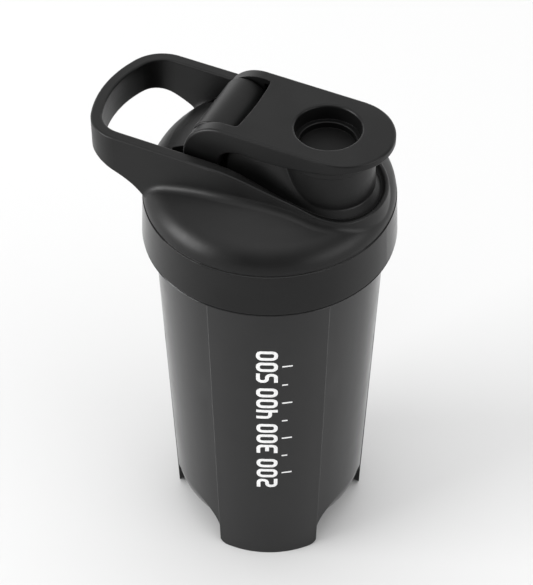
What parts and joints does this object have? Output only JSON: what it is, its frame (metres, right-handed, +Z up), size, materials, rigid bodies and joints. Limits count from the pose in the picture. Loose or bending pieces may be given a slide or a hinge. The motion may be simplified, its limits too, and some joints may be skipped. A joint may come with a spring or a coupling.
{
  "type": "protein shaker bottle",
  "caption": "Legged, tapered shaker cup with a screw-on lid, a carry loop, a round drinking spout, a snap-over flip cap and a loose whisk ball inside.",
  "frame": {"origin": "on the cup's axis, in the plane of the feet", "axes": "+Z up along the cup's axis; +X from the axis towards the drinking spout, with the carry loop along -X; +Y completes the right-handed frame"},
  "size_m": [0.1154, 0.0956, 0.2055],
  "materials": {
    "bottle_plastic": "satin charcoal polypropylene",
    "lid_plastic": "fine-grained matte black polypropylene",
    "cap_plastic": "fine-grained matte black polypropylene",
    "pin_plastic": "smooth black nylon",
    "seal_silicone": "soft dark grey silicone",
    "ball_plastic": "smooth black plastic",
    "print_ink": "flat white screen print"
  },
  "bodies": {
    "bottle": {"bottle_body": "bottle_plastic"},
    "gasket": {"lid_gasket": "seal_silicone"},
    "lid": {"lid": "lid_plastic"},
    "flip_cap": {"flip_cap": "cap_plastic", "hinge_pin": "pin_plastic", "spout_seal": "seal_silicone"},
    "whisk": {"whisk_ball": "ball_plastic"}
  },
  "joints": [
    {"name": "lid_lift", "type": "slide", "parent": "bottle", "child": "gasket", "axis": [0, 0, 1], "range_m": [0, 0.0301]},
    {"name": "lid_turn", "type": "hinge", "parent": "gasket", "child": "lid", "pos_m": [0, 0, 0.16], "axis": [0, 0, 1], "range_deg": [0, 900]},
    {"name": "cap_hinge", "type": "hinge", "parent": "lid", "child": "flip_cap", "pos_m": [-0.0187, 0, 0.1907], "axis": [0, -1, 0], "range_deg": [0, 120]},
    {"name": "ball_slide", "type": "slide", "parent": "bottle", "child": "whisk", "axis": [0, 0, 1], "range_m": [0, 0.1]}
  ],
  "couplings": [
    {"joint": "lid_lift", "follows": "lid_turn", "m_per_rad": 0.0019099}
  ]
}
